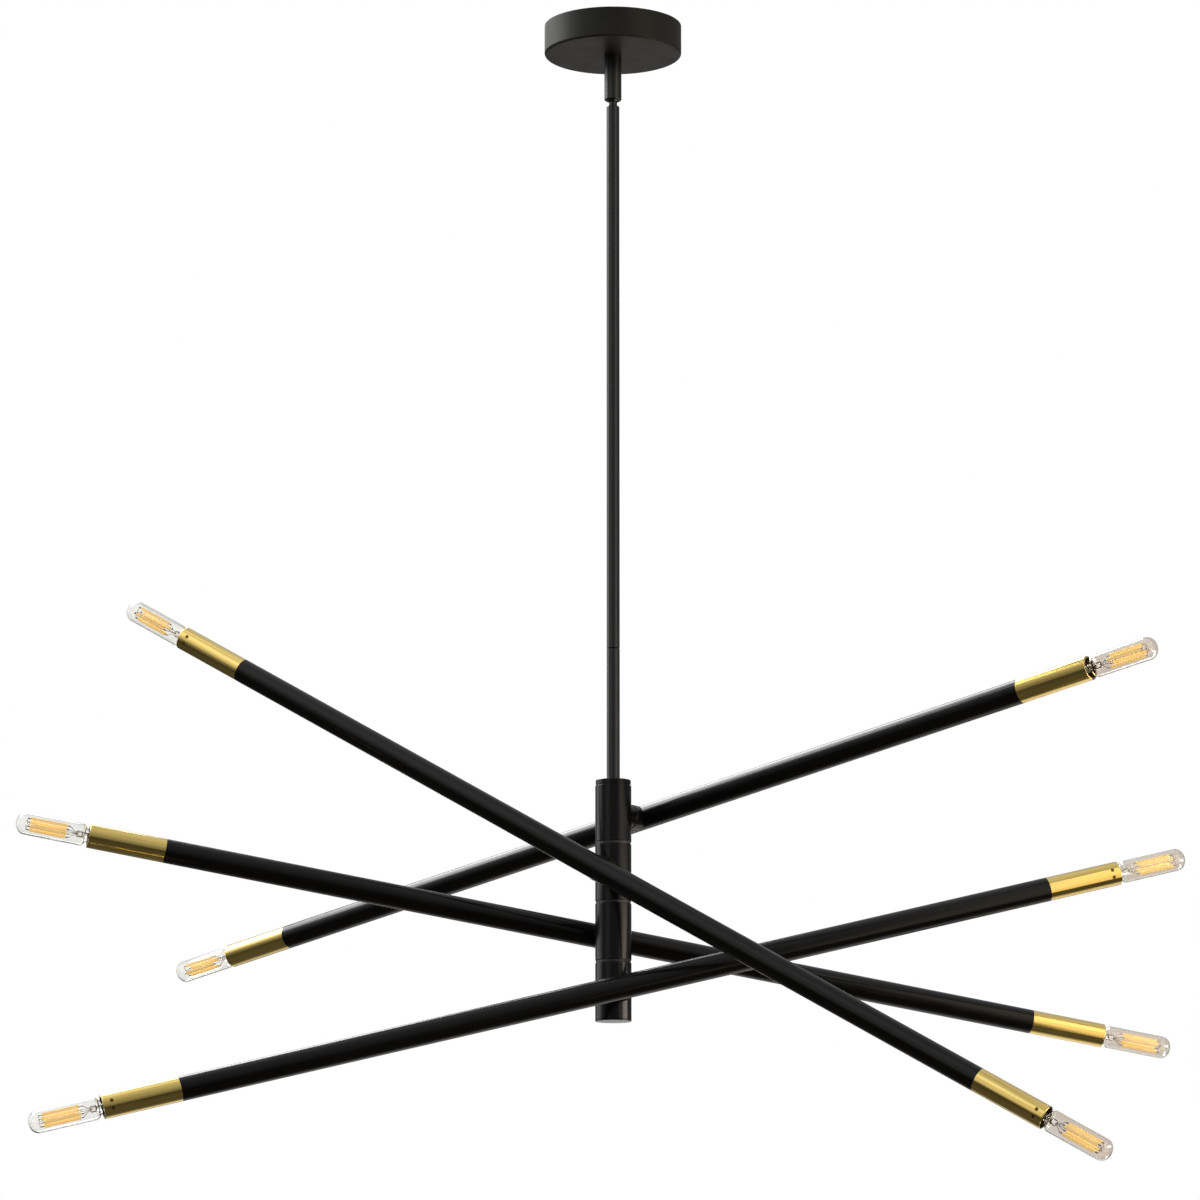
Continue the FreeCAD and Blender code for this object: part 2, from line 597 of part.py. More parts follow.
def holder_lead(side):
    """Sleeved pair of leads from the lampholder along the tube and out through the pivot."""
    rear = SLEEVE_MOUTH - HOLDER_SINK - HOLDER_LENGTH
    beside = side * (LEAD_D / 2 + 0.1)
    bend_start = beside + side * LEAD_BEND_R
    end_y = -ARM_OFFSET + PIVOT_END_REACH
    slant = LEAD_BEND_R * (1 - math.sqrt(0.5))
    path = Part.Wire([
        Part.LineSegment(V(side * rear, 0, 0), V(bend_start, 0, 0)).toShape(),
        Part.Arc(V(bend_start, 0, 0), V(beside + side * slant, -slant, 0),
                 V(beside, -LEAD_BEND_R, 0)).toShape(),
        Part.LineSegment(V(beside, -LEAD_BEND_R, 0), V(beside, end_y, 0)).toShape()])
    section = Part.Wire(Part.makeCircle(LEAD_D / 2, V(side * rear, 0, 0), V(-side, 0, 0)))
    return path.makePipeShell([section], True, False)


# ---- Bulb, in the arm's own frame --------------------------------------------------------------
def bulb_outline(inset):
    """Envelope's outline from its lower end to its tip, moved inwards by inset.

    Neck, a shoulder of two equal arcs, a straight tube, and a crown that is tangent to its corner.
    """
    low = SLEEVE_MOUTH - GLASS_SINK
    radius = GLASS_D / 2
    neck = GLASS_NECK_D / 2
    step = radius - neck
    bend_r = (step ** 2 + GLASS_SHOULDER_L ** 2) / (4 * step)
    bend_deg = math.degrees(math.asin(GLASS_SHOULDER_L / 2 / bend_r))
    hollow = (neck + bend_r, SLEEVE_MOUTH)
    swell = (radius - bend_r, SLEEVE_MOUTH + GLASS_SHOULDER_L)

    corner_deg = GLASS_CORNER_DEG
    to_axis = (radius - GLASS_TIP_R) / math.cos(math.radians(corner_deg))
    crown_z = SLEEVE_MOUTH + GLASS_SHOWN - GLASS_TIP_R - to_axis
    corner = (radius - GLASS_TIP_R, crown_z + to_axis * math.sin(math.radians(corner_deg)))
    crown_r = GLASS_TIP_R + to_axis - inset

    def arc(centre, arc_r, from_deg, to_deg):
        return (on_circle(centre, arc_r, (from_deg + to_deg) / 2), on_circle(centre, arc_r, to_deg))
    return (neck - inset, low), [
        (neck - inset, SLEEVE_MOUTH),
        arc(hollow, bend_r + inset, 180, 180 - bend_deg),
        arc(swell, bend_r - inset, -bend_deg, 0),
        (radius - inset, corner[1]),
        arc(corner, GLASS_TIP_R - inset, 0, corner_deg),
        arc((0, crown_z), crown_r, corner_deg, 90)]


def backwards(start, steps):
    """The same outline from its end to its start."""
    ends = [step[1] if isinstance(step[0], tuple) else step for step in steps]
    starts = [start] + ends[:-1]
    return [(step[0], here) if isinstance(step[0], tuple) else here
            for here, step in zip(reversed(starts), reversed(steps))]


def bulb_glass(side):
    """Thin tubular envelope with a necked lower end and a domed tip."""
    outer_start, outer = bulb_outline(0)
    inner_start, inner = bulb_outline(GLASS_WALL)
    inner_end = inner[-1][1]
    return z_to_x(turned(outer_start, *outer, inner_end, *backwards(inner_start, inner)), side)


def bulb_core(side):
    """Screw cap with its contact, glass mount with two spiders, and four filaments."""
    cap_top = SLEEVE_MOUTH - GLASS_SINK
    cap_low = cap_top - BULB_CAP_LENGTH
    tip_low = cap_low - BULB_TIP_LENGTH
    tip_r = BULB_TIP_D / 2
    cap_r = BULB_CAP_D / 2
    bevel = 0.8
    cap = turned(
        (0, tip_low), (tip_r - bevel, tip_low), (tip_r, tip_low + bevel), (tip_r, cap_low - 1.5),
        (cap_r - 1.0, cap_low + 1.5), (cap_r, cap_low + 3.0), (cap_r, cap_top), (0, cap_top))

    neck_in = GLASS_NECK_D / 2 - GLASS_WALL - SEAT_GAP
    flare_top = cap_top + 2.0
    mount_top = SLEEVE_MOUTH + MOUNT_LENGTH - 4.0
    low = SLEEVE_MOUTH + FILAMENT_START
    high = low + FILAMENT_LENGTH
    wire_r = SUPPORT_D / 2
    mount = turned(
        (0, cap_top), (neck_in, cap_top), (neck_in, flare_top), (MOUNT_D / 2, flare_top + 2.0),
        (MOUNT_D / 3, mount_top), (wire_r, mount_top + 1.0), (wire_r, high + SUPPORT_D),
        (0, high + SUPPORT_D))
    reach = FILAMENT_SPACING * math.sqrt(0.5) + FILAMENT_D / 2
    bars = [Part.makeBox(2 * reach, SUPPORT_D, SUPPORT_D, V(-reach, -SUPPORT_D / 2, z))
            for z in (low - SUPPORT_D, high)]
    spiders = [placed(bar, FreeCAD.Placement(ORIGIN, FreeCAD.Rotation(Z_AXIS, turn)))
               for bar in bars for turn in (FILAMENT_TURN + 45, FILAMENT_TURN + 135)]
    mount = mount.fuse(spiders).removeSplitter()

    spots = [on_circle((0, 0), FILAMENT_SPACING * math.sqrt(0.5), FILAMENT_TURN + 45 + 90 * i)
             for i in range(4)]
    filaments = [rod(FILAMENT_D, V(x, y, low), V(x, y, high)) for x, y in spots]
    return [z_to_x(piece, side) for piece in [cap, mount] + filaments]


# ---- The whole light -----------------------------------------------------------------------
def build():
    os.makedirs("parts", exist_ok=True)
    save("mounting_strap", mounting_strap())
    save("canopy_nipple", canopy_nipple())
    save("nipple_nuts", *nipple_nuts())
    save("ground_screw", ground_screw())
    save("canopy", canopy())
    save("supply_leads", *supply_leads())
    save("wire_connectors", *wire_connectors())

    save("swivel_barrel", swivel_barrel())
    save("swivel_plug", swivel_plug())
    save("swivel_liner", swivel_liner())
    save("swivel_ball", swivel_ball())

    save("stem_upper", stem_section(STEM_TOP, STEM_SEAM))
    save("stem_coupler", stem_coupler())
    save("stem_lower", stem_section(STEM_SEAM, STEM_BOTTOM))
    save("stem_leads", stem_leads())

    save("core_tube", core_tube())
    save("column_spring", column_spring())
    save("column_cap", column_cap())
    save("spacer_rings", *spacer_rings())
    save("base_plate", base_plate())

    for hub in range(HUB_COUNT):
        number = str(hub + 1)
        # an arm behind the column has its +X end on the viewer's right, one in front on the left
        right = 1 if math.sin(math.radians(HUB_AZIMUTH[hub])) > 0 else -1
        save("hub_" + number, on_hub(hub_body(), hub))
        save("arm_" + number + "_knuckle", on_arm(knuckle(), hub))
        save("arm_" + number + "_pivot_hardware", *[on_arm(piece, hub) for piece in pivot_hardware()])
        save("arm_" + number + "_tube", on_arm(arm_tube(), hub))
        save("arm_" + number + "_sleeves", *[on_arm(sleeve(side), hub) for side in (1, -1)])
        save("arm_" + number + "_lampholders",
             *[on_arm(piece(side), hub) for piece in (lampholder, holder_lead) for side in (1, -1)])
        for name, side in (("right", right), ("left", -right)):
            save("bulb_" + number + "_" + name + "_glass", on_arm(bulb_glass(side), hub))
            save("bulb_" + number + "_" + name + "_core", *[on_arm(piece, hub) for piece in bulb_core(side)])


build()
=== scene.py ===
import json
import math

import bmesh
import bpy
from mathutils import Matrix, Vector


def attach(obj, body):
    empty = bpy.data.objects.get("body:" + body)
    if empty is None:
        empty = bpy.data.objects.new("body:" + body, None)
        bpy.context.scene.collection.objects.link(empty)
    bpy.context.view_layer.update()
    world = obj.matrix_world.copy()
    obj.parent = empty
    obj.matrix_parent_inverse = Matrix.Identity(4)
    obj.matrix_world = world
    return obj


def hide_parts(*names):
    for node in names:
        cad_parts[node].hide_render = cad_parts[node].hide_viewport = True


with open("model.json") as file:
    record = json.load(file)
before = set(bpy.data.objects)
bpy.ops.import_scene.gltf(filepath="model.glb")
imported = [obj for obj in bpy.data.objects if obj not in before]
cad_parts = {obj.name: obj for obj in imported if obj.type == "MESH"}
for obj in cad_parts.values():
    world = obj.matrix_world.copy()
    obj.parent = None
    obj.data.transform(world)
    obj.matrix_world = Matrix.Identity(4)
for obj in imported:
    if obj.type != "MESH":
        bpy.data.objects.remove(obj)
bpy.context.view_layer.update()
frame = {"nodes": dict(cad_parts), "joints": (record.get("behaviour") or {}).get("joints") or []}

# Four tilting tube arms on a turning column, with a tubular bulb in a brass sleeve at each end.
# Sizes of pieces are in millimetres. Along a bulb's axis they count outwards from the sleeve's mouth.
MM = 0.001
ARMS = ("1", "2", "3", "4")
SIDES = ("right", "left")

# ---- Bulb: glass envelope --------------------------------------------------------------------
GLASS_D = 20.5
GLASS_WALL = 0.8
GLASS_NECK_D = 12.0
GLASS_SHOULDER_L = 6.5
GLASS_SHOWN = 66.0              # from the mouth to the tip
GLASS_TIP_R = 8.5
GLASS_CORNER_DEG = 68.0
GLASS_LOW = -4.0                # foot of the neck, where the cap starts

# ---- Bulb: screw cap and its end -------------------------------------------------------------
CAP_D = 11.6
CAP_LENGTH = 14.0
CAP_EDGE = 0.3
CAP_LIP = 0.5                   # each of two steps that draw the cap in over the insulator
CAP_PLUG = 0.4                  # how far the cement stands up into the neck
CAP_PLUG_GAP = 0.1
CAP_THREAD_FROM = 3.0           # plain skirt between the thread and the glass
CAP_THREAD_TO = 1.2             # plain rim beyond the thread
THREAD_PITCH = 2.5
THREAD_DEPTH = 0.45
THREAD_FADE = 0.8               # run in and run out
THREAD_RINGS = 34

INSULATOR_LENGTH = 2.4
INSULATOR_INSET = 1.1
INSULATOR_EDGE = 0.5
INSULATOR_NOSE_W = 0.3
INSULATOR_NOSE_H = 0.2
CONTACT_D = 4.6
CONTACT_LENGTH = 1.6
CONTACT_INSET = 0.1
CONTACT_DOME_DEG = (20, 40, 60, 75)

# ---- Bulb: glass mount -----------------------------------------------------------------------
STEM_TUBE_D = 5.0               # glass tube that carries the filaments
STEM_FLARE_D = 9.6
STEM_FLARE_L = 5.0
STEM_FLARE_SHARES = (0.15, 0.3, 0.5, 0.7, 0.85, 1.0)
STEM_FOOT = 0.5                 # its rim stands this far above the glass neck's foot
STEM_RIM = 0.5
PINCH_LOW = 6.0                 # where the tube is pressed flat round its wires
PINCH_HIGH = 11.0
PINCH_TAPER = 1.5
PINCH_THIN = 0.45               # how thin it is pressed, as a share of its diameter
PINCH_WIDE = 1.15               # and how wide that makes it
PINCH_EDGE = 0.8
PINCH_EDGE_R = 0.8              # share of the tube's radius that is left at its edge
PINCH_CROWN = 0.2

# ---- Bulb: filaments and their wires ---------------------------------------------------------
FILAMENT_D = 3.1
FILAMENT_FROM = 17.6
FILAMENT_LENGTH = 38.0          # with its metal tabs
FILAMENT_END = 0.5              # height of its rounded end, as a share of its radius
FILAMENT_END_DEG = (30, 60, 90)
FILAMENT_SQUARE = 7.6           # side of the square on which the four stand
FILAMENT_TURN = {               # where each bulb stops when screwed in, in degrees
    "1_right": 41, "1_left": 8, "2_right": 20, "2_left": 30,
    "3_right": 33, "3_left": 16, "4_right": 27, "4_left": 22,
}
TAB_LENGTH = 2.2
TAB_D = 1.3
TAB_INSIDE = 0.2
TAB_BEYOND = 0.4
WIRE_D = 0.55
CENTRE_WIRE_SINK = 2.0          # below the top of the pinch
CENTRE_WIRE_RISE = 0.8          # above the filaments
# Points of a side wire: share of the way out to its filament, and height above a given level.
TOP_WIRE = ((1.0, 0.2), (0.5, 0.9), (0.0, 0.6))         # above the filaments' tops
FOOT_WIRE = ((1.0, -0.2), (0.8, -1.6))                  # above the filaments' feet
PINCH_WIRE = ((0.35, 2.0), (0.2, -1.0))                 # above the top of the pinch

# ---- Lampholder and sleeve -------------------------------------------------------------------
HOLDER_SINK = 5.0               # lampholder's rim, inwards from the sleeve's mouth
SHELL_D = 12.5
SHELL_DEPTH = 17.0
SHELL_SINK = 0.6                # below the lampholder's rim
SHELL_WALL = 0.36               # from the lampholder's bore to the shell's own
SHELL_GAP = 0.02
SLEEVE_D = 22.0
GRUB_D = 3.4
GRUB_FROM_MOUTH = 8.0
GRUB_PROUD = 0.12
GRUB_SUNK = 0.3
GRUB_EDGE = 0.08
GRUB_SOCKET_R = 0.62
GRUB_SOCKET_FLOOR_R = 0.55
GRUB_SOCKET_DEPTH = 0.09
GRUB_SPREAD_DEG = 18.0          # each side of the sleeve's outer face

# ---- How finely the curved pieces are divided ------------------------------------------------
ENVELOPE_SIDES = 56
SHOULDER_POINTS = 7
CORNER_POINTS = 10
CROWN_POINTS = 4
CAP_SIDES = 40
SHELL_SIDES = 40
STEM_SIDES = 32
INSULATOR_SIDES = 32
CONTACT_SIDES = 24
GRUB_SIDES = 24
FILAMENT_SIDES = 16
WIRE_SIDES = 8
FLOOR_SIDES = 96
CREASE_DEG = 35                 # edges sharper than this show
GLASS_CREASE_DEG = 60

# ---- Camera: where the photograph was taken from ---------------------------------------------
CAMERA_PLACE = (-0.0121, -4.5113, -1.3767)      # metres
CAMERA_PITCH_DEG = 10.43
CAMERA_LENS = 150.0             # millimetres, as is the sensor's width
CAMERA_SENSOR = 36.0
CAMERA_REACH = 50.0             # metres

# ---- Studio, in metres -----------------------------------------------------------------------
LAMPS = (       # name, place, target, up, width, height, radiance, colour
    ("left_softbox", (-1.62, 1.35, 1.48), (0.0, 0.0, -0.8), (0.645, 0.763, 0.05),
     1.3, 3.6, 8.5, "#ffffff"),
    ("right_low_softbox", (1.47, -0.3, -0.86), (0.0, 0.0, -0.9), (0.0, 0.0, 1.0),
     1.0, 0.3, 11.0, "#fff0e2"),
    ("right_front_panel", (1.49, -1.19, -0.6), (0.42, 0.05, -0.8), (0.0, 0.0, 1.0),
     0.95, 3.2, 1.25, "#ffecd0"),
)
REFLECTORS = (  # direction, full within and gone beyond these degrees, strength, colour
    ((0.0, 1.0, 0.0), 10, 24, 1.0, "#ffffff"),          # the white backdrop
    ((0.0, 0.6, 0.8), 20, 50, 0.2, "#ffffff"),          # its glow on the ceiling behind
    ((-0.44, -0.57, 0.69), 8, 26, 0.8, "#ffffff"),      # high in front on the left
    ((-0.23, -0.1, 0.97), 5, 20, 0.5, "#ffffff"),       # overhead
    ((-0.58, -0.78, 0.2), 6, 18, 0.55, "#fff8ea"),      # low in front on the left
    ((-0.93, 0.25, 0.26), 12, 32, 2.0, "#ffffff"),      # on the left
)
ROOM_LEVELS = ((0.1, 0.06), (0.3, 0.1), (0.5, 0.24), (0.97, 0.72))     # share of the way up, brightness
ROOM_BEHIND = ((-0.1, 1.0), (0.6, 0.6))                 # heading's Y, share of the room's light
GLASS_ACROSS = ((-0.06, "#ffffff"), (0.1, "#dacdc2"))   # heading's X, colour that glass shows
GLASS_BEHIND = ((0.45, 0.2), (0.9, 1.0))                # heading's Y, brightness that glass shows
FLOOR_Z = -2.3
FLOOR_R = 9.0
POOL_PLACE = (0.9, 2.1, 0.0)    # middle of the painted pool of light on the floor
POOL_FADE = ((1.1, "#eae6df"), (1.9, "#4c4a46"))        # distance from there, colour in reflections

# ---- Surface patterns ------------------------------------------------------------------------
NOISE_SPAN = (0.3, 0.7)         # the part of a noise's range that its values fill
PAINT_CLOUD_MM = 24
GLASS_WAVE_MM = 20
PHOSPHOR_MOTTLE_MM = 2.5
FLOOR_SCUFF_MM = 300
BRUSH_LINE_MM = 1.6
BRUSH_STRETCH = 0.02            # scale of the lines along the brass tube, where 1 is across it


# ---- Shader helpers --------------------------------------------------------------------------
def linear(hex_colour):
    """sRGB hex colour as linear RGBA."""
    parts = [int(hex_colour[i:i + 2], 16) / 255 for i in (1, 3, 5)]
    return tuple(c / 12.92 if c <= 0.04045 else ((c + 0.055) / 1.055) ** 2.4 for c in parts) + (1.0,)


def add(tree, kind, inputs=(), **settings):
    """Adds a shader node, sets it up, and gives each named input a value or another node's output."""
    made = tree.nodes.new("ShaderNode" + kind)
    for name, value in settings.items():
        setattr(made, name, value)
    for name, value in dict(inputs).items():
        if isinstance(value, bpy.types.NodeSocket):
            tree.links.new(value, made.inputs[name])
        else:
            made.inputs[name].default_value = value
    return made


def new_material(name, **values):
    """A material, its tree, its Principled shader and its place in the object, in metres.

    The shader's inputs are set by name, with underscores for spaces.
    """
    made = bpy.data.materials.new(name)
    made.use_nodes = True
    shader = made.node_tree.nodes["Principled BSDF"]
    for key, value in values.items():
        shader.inputs[key.replace("_", " ")].default_value = value
    place = add(made.node_tree, "TexCoord").outputs["Object"]
    return made, made.node_tree, shader, place


def vary(tree, shader, pattern, colours, roughness):
    """Lets a pattern drive the colour between two hex values and the roughness between two numbers."""
    tone = add(tree, "ValToRGB", {"Fac": pattern})
    for stop, position, colour in zip(tone.color_ramp.elements, NOISE_SPAN, colours):
        stop.position = position
        stop.color = linear(colour)
    gloss = add(tree, "MapRange", {"Value": pattern, "From Min": NOISE_SPAN[0], "From Max": NOISE_SPAN[1],
                                   "To Min": roughness[0], "To Max": roughness[1]})
    tree.links.new(tone.outputs["Color"], shader.inputs["Base Color"])
    tree.links.new(gloss.outputs["Result"], shader.inputs["Roughness"])


def per_mm(size_mm):
    """Noise scale that gives features of this size on a model in metres."""
    return 1 / (size_mm * MM)


# ---- Materials -------------------------------------------------------------------------------
def black_paint(name, colours, roughness, peel_mm, peel_depth_mm, **values):
    """Black paint sprayed on steel: slight clouds in its tone and gloss, and a fine orange peel."""
    made, tree, shader, place = new_material(name, **values)
    cloud = add(tree, "TexNoise", {"Vector": place, "Scale": per_mm(PAINT_CLOUD_MM), "Detail": 3.0})
    vary(tree, shader, cloud.outputs["Fac"], colours, roughness)
    peel = add(tree, "TexNoise", {"Vector": place, "Scale": per_mm(peel_mm), "Detail": 2.0})
    bump = add(tree, "Bump", {"Height": peel.outputs["Fac"], "Distance": peel_depth_mm * MM,
                              "Strength": 0.35})
    tree.links.new(bump.outputs["Normal"], shader.inputs["Normal"])
    return made


def polished_brass(number, end):
    """Drawn brass tube, polished and clear-lacquered: bright, with fine lines along the tube.

    The lines run along Z of the frame of an arm's end. They are coarser than real ones, so that they show.
    """
    made, tree, shader, place = new_material("polished_lacquered_brass_tube_" + number, Metallic=1.0,
                                             Coat_Weight=1.0, Coat_Roughness=0.06, Coat_IOR=1.5)
    to_tube = end.to_3x3().inverted().to_euler()
    turn = add(tree, "Mapping", {"Vector": place, "Rotation": to_tube})
    stretch = add(tree, "Mapping", {"Vector": turn.outputs["Vector"], "Scale": (1.0, 1.0, BRUSH_STRETCH)})
    line = add(tree, "TexNoise", {"Vector": stretch.outputs["Vector"], "Scale": per_mm(BRUSH_LINE_MM),
                                  "Detail": 3.0})
    vary(tree, shader, line.outputs["Fac"], ("#d2b45a", "#e8cd74"), (0.12, 0.2))
    bump = add(tree, "Bump", {"Height": line.outputs["Fac"], "Distance": 0.01 * MM, "Strength": 0.2})
    tree.links.new(bump.outputs["Normal"], shader.inputs["Normal"])
    return made


def clouded_metal(name, cloud_mm, detail, colours, roughness):
    """Bare or plated metal: its tone and gloss drift a little over its surface."""
    made, tree, shader, place = new_material(name, Metallic=1.0)
    cloud = add(tree, "TexNoise", {"Vector": place, "Scale": per_mm(cloud_mm), "Detail": detail})
    vary(tree, shader, cloud.outputs["Fac"], colours, roughness)
    return made


def grained(name, colours, roughness, grain_mm, ior=1.5):
    """Moulded, extruded or fused material, or a thick film: one even colour with a fine grain.

    The grain is coarser than the real one, so that it shows.
    """
    made, tree, shader, place = new_material(name, IOR=ior)
    grain = add(tree, "TexNoise", {"Vector": place, "Scale": per_mm(grain_mm), "Detail": 3.0})
    vary(tree, shader, grain.outputs["Fac"], colours, roughness)
    bump = add(tree, "Bump", {"Height": grain.outputs["Fac"], "Distance": 0.02 * MM, "Strength": 0.3})
    tree.links.new(bump.outputs["Normal"], shader.inputs["Normal"])
    return made


def clear_glass():
    """Blown soda-lime glass: clear, with a trace of waviness from the blowing."""
    made, tree, shader, place = new_material(
        "clear_blown_soda_lime_glass", Base_Color=linear("#fbfbf9"), Roughness=0.0, IOR=1.5,
        Transmission_Weight=1.0)
    wave = add(tree, "TexNoise", {"Vector": place, "Scale": per_mm(GLASS_WAVE_MM), "Detail": 0.0})
    bump = add(tree, "Bump", {"Height": wave.outputs["Fac"], "Distance": 0.02 * MM, "Strength": 0.3})
    tree.links.new(bump.outputs["Normal"], shader.inputs["Normal"])
    return made


def filament_phosphor_painted_glow():
    """Glass strip of tiny diodes under a moulded yellow phosphor gel, with a painted glow as bright as the
    strips look.
    """
    # Painted light: the emission is a faint glow that stands in for the light reaching the strips through the
    # glass.
    made, tree, shader, place = new_material(
        "moulded_yellow_phosphor_gel_painted_glow", IOR=1.43, Emission_Strength=0.6, Emission_Color=linear("#ffd587"))
    mottle = add(tree, "TexNoise", {"Vector": place, "Scale": per_mm(PHOSPHOR_MOTTLE_MM), "Detail": 2.0})
    vary(tree, shader, mottle.outputs["Fac"], ("#f7cd78", "#ffe09a"), (0.4, 0.5))
    return made


# ---- Mesh helpers ----------------------------------------------------------------------------
def place_of(number, side):
    """Frame of an arm end: origin in the sleeve's mouth, Z outwards along the arm, X away from the hub."""
    joints = {joint["name"]: joint for joint in frame["joints"]}
    pivot = Vector(joints["arm_" + number + "_tilt"]["pos_m"])
    hub = Vector(joints["hub_" + number + "_turn"]["pos_m"])
    along = Vector(joints["bulb_" + number + "_" + side + "_unscrew"]["axis"]).normalized()
    outwards = (pivot - hub).normalized()
    across = along.cross(outwards)
    sleeves = frame["nodes"]["arm_" + number + "_sleeves"]
    mouth = max((v.co - pivot).dot(along) for v in sleeves.data.vertices)
    turn = Matrix((outwards, across, along)).transposed().to_4x4()
    return Matrix.Translation(pivot + mouth * along) @ turn


def finished(name, built, place, material, body, crease_deg=CREASE_DEG):
    """Turns a bmesh in millimetres into an object at its place, riding on its body."""
    bmesh.ops.recalc_face_normals(built, faces=built.faces)
    mesh = bpy.data.meshes.new(name)
    built.to_mesh(mesh)
    built.free()
    mesh.transform(place @ Matrix.Scale(MM, 4))
    for face in mesh.polygons:
        face.use_smooth = True
    mesh.set_sharp_from_angle(angle=math.radians(crease_deg))
    mesh.materials.append(material)
    piece = bpy.data.objects.new(name, mesh)
    bpy.context.scene.collection.objects.link(piece)
    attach(piece, body)
    return piece


def skin(built, rings):
    """Joins each ring of vertices to the next with faces; a ring may be a single vertex."""
    for low, high in zip(rings, rings[1:]):
        sides = max(len(low), len(high))
        for i in range(sides):
            j = (i + 1) % sides
            if len(low) == 1:
                built.faces.new((low[0], high[j], high[i]))
            elif len(high) == 1:
                built.faces.new((low[i], low[j], high[0]))
            else:
                built.faces.new((low[i], low[j], high[j], high[i]))


def revolve(built, outline, sides, radius_at=None):
    """Adds a surface of revolution about Z from (radius, height) points; a zero radius closes it."""
    rings = []
    for radius, height in outline:
        if radius == 0.0:
            rings.append([built.verts.new((0, 0, height))])
            continue
        ring = []
        for i in range(sides):
            turn = 2 * math.pi * i / sides
            r = radius_at(radius, height, turn) if radius_at else radius
            ring.append(built.verts.new((r * math.cos(turn), r * math.sin(turn), height)))
        rings.append(ring)
    skin(built, rings)
    return rings


def move(rings, matrix):
    """Puts the vertices of some rings in their place."""
    for ring in rings:
        for vertex in ring:
            vertex.co = matrix @ vertex.co


def arc(centre, radius, from_deg, to_deg, count):
    """Points along an arc, its first left out."""
    turns = [math.radians(from_deg + (to_deg - from_deg) * i / count) for i in range(1, count + 1)]
    return [(centre[0] + radius * math.cos(turn), centre[1] + radius * math.sin(turn)) for turn in turns]


def wire(built, points, diameter):
    """Adds a closed round wire along a list of points."""
    turns = [2 * math.pi * i / WIRE_SIDES for i in range(WIRE_SIDES)]
    rim = [Vector((diameter / 2 * math.cos(turn), diameter / 2 * math.sin(turn), 0)) for turn in turns]
    rings = []
    for i, point in enumerate(points):
        before = points[max(i - 1, 0)]
        after = points[min(i + 1, len(points) - 1)]
        run = (Vector(after) - Vector(before)).normalized()
        facing = run.to_track_quat("Z", "Y").to_matrix()
        rings.append([built.verts.new(Vector(point) + facing @ spot) for spot in rim])
    skin(built, rings)
    built.faces.new(rings[0])
    built.faces.new(rings[-1])


# ---- Bulb pieces -----------------------------------------------------------------------------
def envelope_outline(inset):
    """Neck, a shoulder of two arcs, tube, corner and crown, moved inwards by inset."""
    radius = GLASS_D / 2
    neck = GLASS_NECK_D / 2
    step = radius - neck
    bend_r = (step ** 2 + GLASS_SHOULDER_L ** 2) / (4 * step)
    bend_deg = math.degrees(math.asin(GLASS_SHOULDER_L / 2 / bend_r))
    to_axis = (radius - GLASS_TIP_R) / math.cos(math.radians(GLASS_CORNER_DEG))
    crown_z = GLASS_SHOWN - GLASS_TIP_R - to_axis
    corner = (radius - GLASS_TIP_R, crown_z + to_axis * math.sin(math.radians(GLASS_CORNER_DEG)))
    points = [(neck - inset, GLASS_LOW), (neck - inset, 0.0)]
    points += arc((neck + bend_r, 0.0), bend_r + inset, 180, 180 - bend_deg, SHOULDER_POINTS)
    points += arc((radius - bend_r, GLASS_SHOULDER_L), bend_r - inset, -bend_deg, 0, SHOULDER_POINTS)
    points += [(radius - inset, corner[1])]
    points += arc(corner, GLASS_TIP_R - inset, 0, GLASS_CORNER_DEG, CORNER_POINTS)
    points += arc((0, crown_z), GLASS_TIP_R + to_axis - inset, GLASS_CORNER_DEG, 90, CROWN_POINTS)
    return points[:-1] + [(0.0, points[-1][1])]


def make_envelope(name, place, material):
    """Glass envelope with a real wall, open at the foot of its neck."""
    built = bmesh.new()
    outer = revolve(built, envelope_outline(0), ENVELOPE_SIDES)
    inner = revolve(built, envelope_outline(GLASS_WALL), ENVELOPE_SIDES)
    skin(built, (inner[0], outer[0]))
    piece = finished(name + "_envelope", built, place, material, name, GLASS_CREASE_DEG)
    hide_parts(name + "_glass")


def make_screw_cap(name, place, material):
    """Rolled screw cap: a plain skirt on the glass, a round helical thread, and a lip over the insulator."""
    built = bmesh.new()
    top = GLASS_LOW
    low = top - CAP_LENGTH
    thread_top = top - CAP_THREAD_FROM
    thread_low = low + CAP_THREAD_TO
    crest = CAP_D / 2
    plug = GLASS_NECK_D / 2 - GLASS_WALL - CAP_PLUG_GAP

    def radius_at(radius, height, turn):
        phase = 2 * math.pi * height / THREAD_PITCH - turn
        fade = min(1.0, (height - thread_low) / THREAD_FADE, (thread_top - height) / THREAD_FADE)
        return radius - THREAD_DEPTH * max(fade, 0.0) * (0.5 - 0.5 * math.cos(phase))

    outline = [(0.0, top + CAP_PLUG), (plug, top + CAP_PLUG), (plug, top), (crest - CAP_EDGE, top),
               (crest, top - CAP_EDGE)]
    outline += [(crest, thread_top + (thread_low - thread_top) * i / THREAD_RINGS)
                for i in range(THREAD_RINGS + 1)]
    outline += [(crest - CAP_LIP, low + CAP_EDGE), (crest - 2 * CAP_LIP, low), (0.0, low)]
    revolve(built, outline, CAP_SIDES, radius_at)
    piece = finished(name + "_screw_cap", built, place, material, name)
    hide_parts(name + "_core")


def make_insulator(name, place, material):
    """Black glass cone between the cap and the contact."""
    low = GLASS_LOW - CAP_LENGTH
    tip = low - INSULATOR_LENGTH
    wide = CAP_D / 2 - INSULATOR_INSET
    narrow = CONTACT_D / 2
    built = bmesh.new()
    revolve(built, [(0.0, low), (wide, low), (wide - INSULATOR_EDGE, low - INSULATOR_EDGE),
                    (narrow + INSULATOR_NOSE_W, tip + INSULATOR_NOSE_H), (narrow, tip), (0.0, tip)],
            INSULATOR_SIDES)
    finished(name + "_insulator", built, place, material, name)


